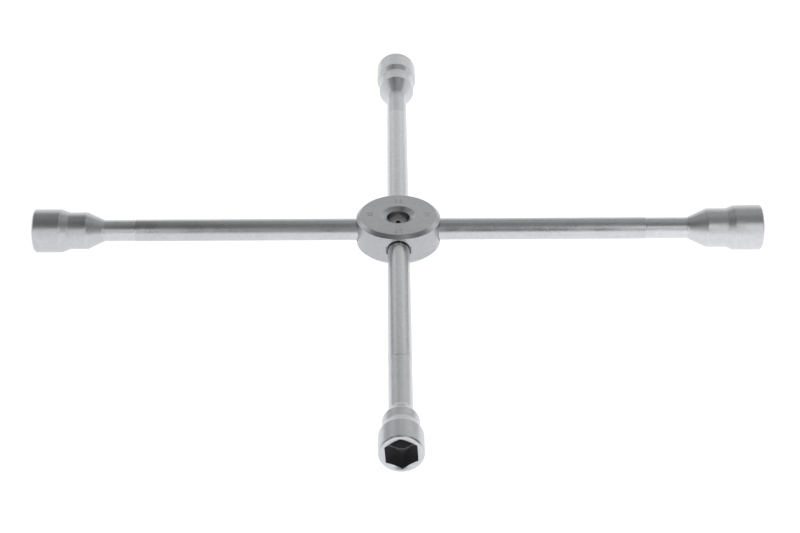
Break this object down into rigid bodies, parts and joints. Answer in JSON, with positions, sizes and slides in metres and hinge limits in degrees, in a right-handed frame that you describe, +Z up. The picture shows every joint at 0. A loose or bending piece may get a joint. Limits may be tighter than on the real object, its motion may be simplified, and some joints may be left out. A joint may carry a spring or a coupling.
{
  "type": "lug wrench",
  "caption": "Four-way wheel-nut wrench: a round hub holds crossed bars, each ending in a hexagonal socket of its own size.",
  "frame": {"origin": "centre of the hub, on the axis of its centre bore, at mid height", "axes": "+Z up along the hub's axis, +X along the right arm, +Y along the rear arm"},
  "size_m": [0.72, 0.715, 0.0446],
  "materials": {
    "hub_steel": "turned face, satin",
    "bar_finish": "satin chrome plate over drawn bar",
    "socket_finish": "satin chrome plate over blasted forging",
    "pin_steel": "dark spring steel"
  },
  "bodies": {
    "root": {"hub": "hub_steel", "bar_front": "bar_finish", "bar_left": "bar_finish", "bar_rear": "bar_finish", "bar_right": "bar_finish", "socket_front": "socket_finish", "socket_left": "socket_finish", "socket_rear": "socket_finish", "socket_right": "socket_finish", "pin_front": "pin_steel", "pin_left": "pin_steel", "pin_rear": "pin_steel", "pin_right": "pin_steel"}
  },
  "joints": []
}
